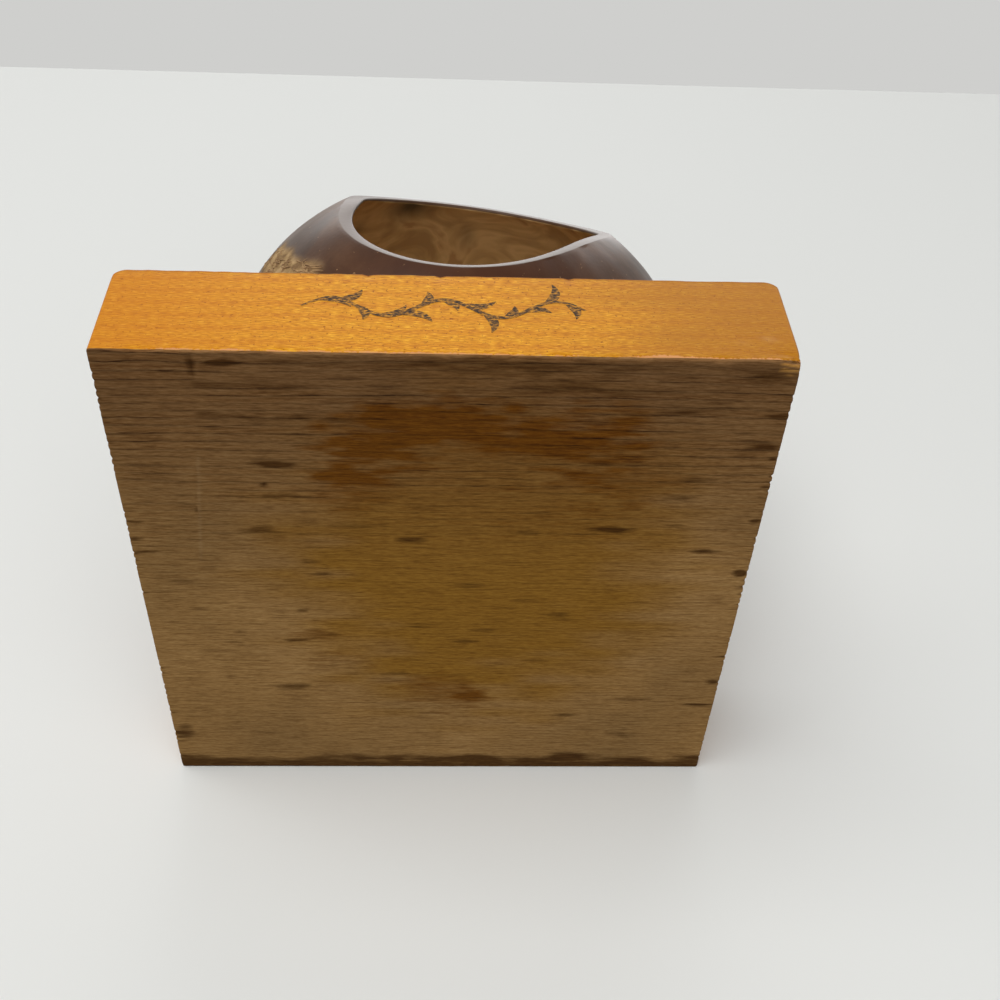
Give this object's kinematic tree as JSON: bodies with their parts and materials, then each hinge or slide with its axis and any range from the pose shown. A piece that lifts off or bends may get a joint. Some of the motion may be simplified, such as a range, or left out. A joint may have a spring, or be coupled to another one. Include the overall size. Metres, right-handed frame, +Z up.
{
  "type": "napkin holder",
  "caption": "Napkin holder: a hollow coconut shell with its mouth facing forward, fixed to the middle of a square wooden board.",
  "frame": {"origin": "middle of the board's underside, which is also the middle of the bottom of the whole object's box", "axes": "+X right seen from the front, +Y back, +Z up; the board's front face is at -Y and the mouth of the shell faces -Y and up"},
  "size_m": [0.1, 0.1, 0.1101],
  "materials": {
    "board_wood": "amber varnish on the front, sides and top, bare sawn grain underneath",
    "coconut": "polished coconut shell, dark brown outside and tan inside",
    "glue": "hardened amber glue",
    "screw_steel": "plain steel, slightly dulled"
  },
  "bodies": {
    "root": {"base_board": "board_wood", "coconut_shell": "coconut", "coconut_shell_floor": "coconut", "glue_bed": "glue", "screw_washer": "screw_steel", "fixing_screw": "screw_steel"}
  },
  "joints": []
}
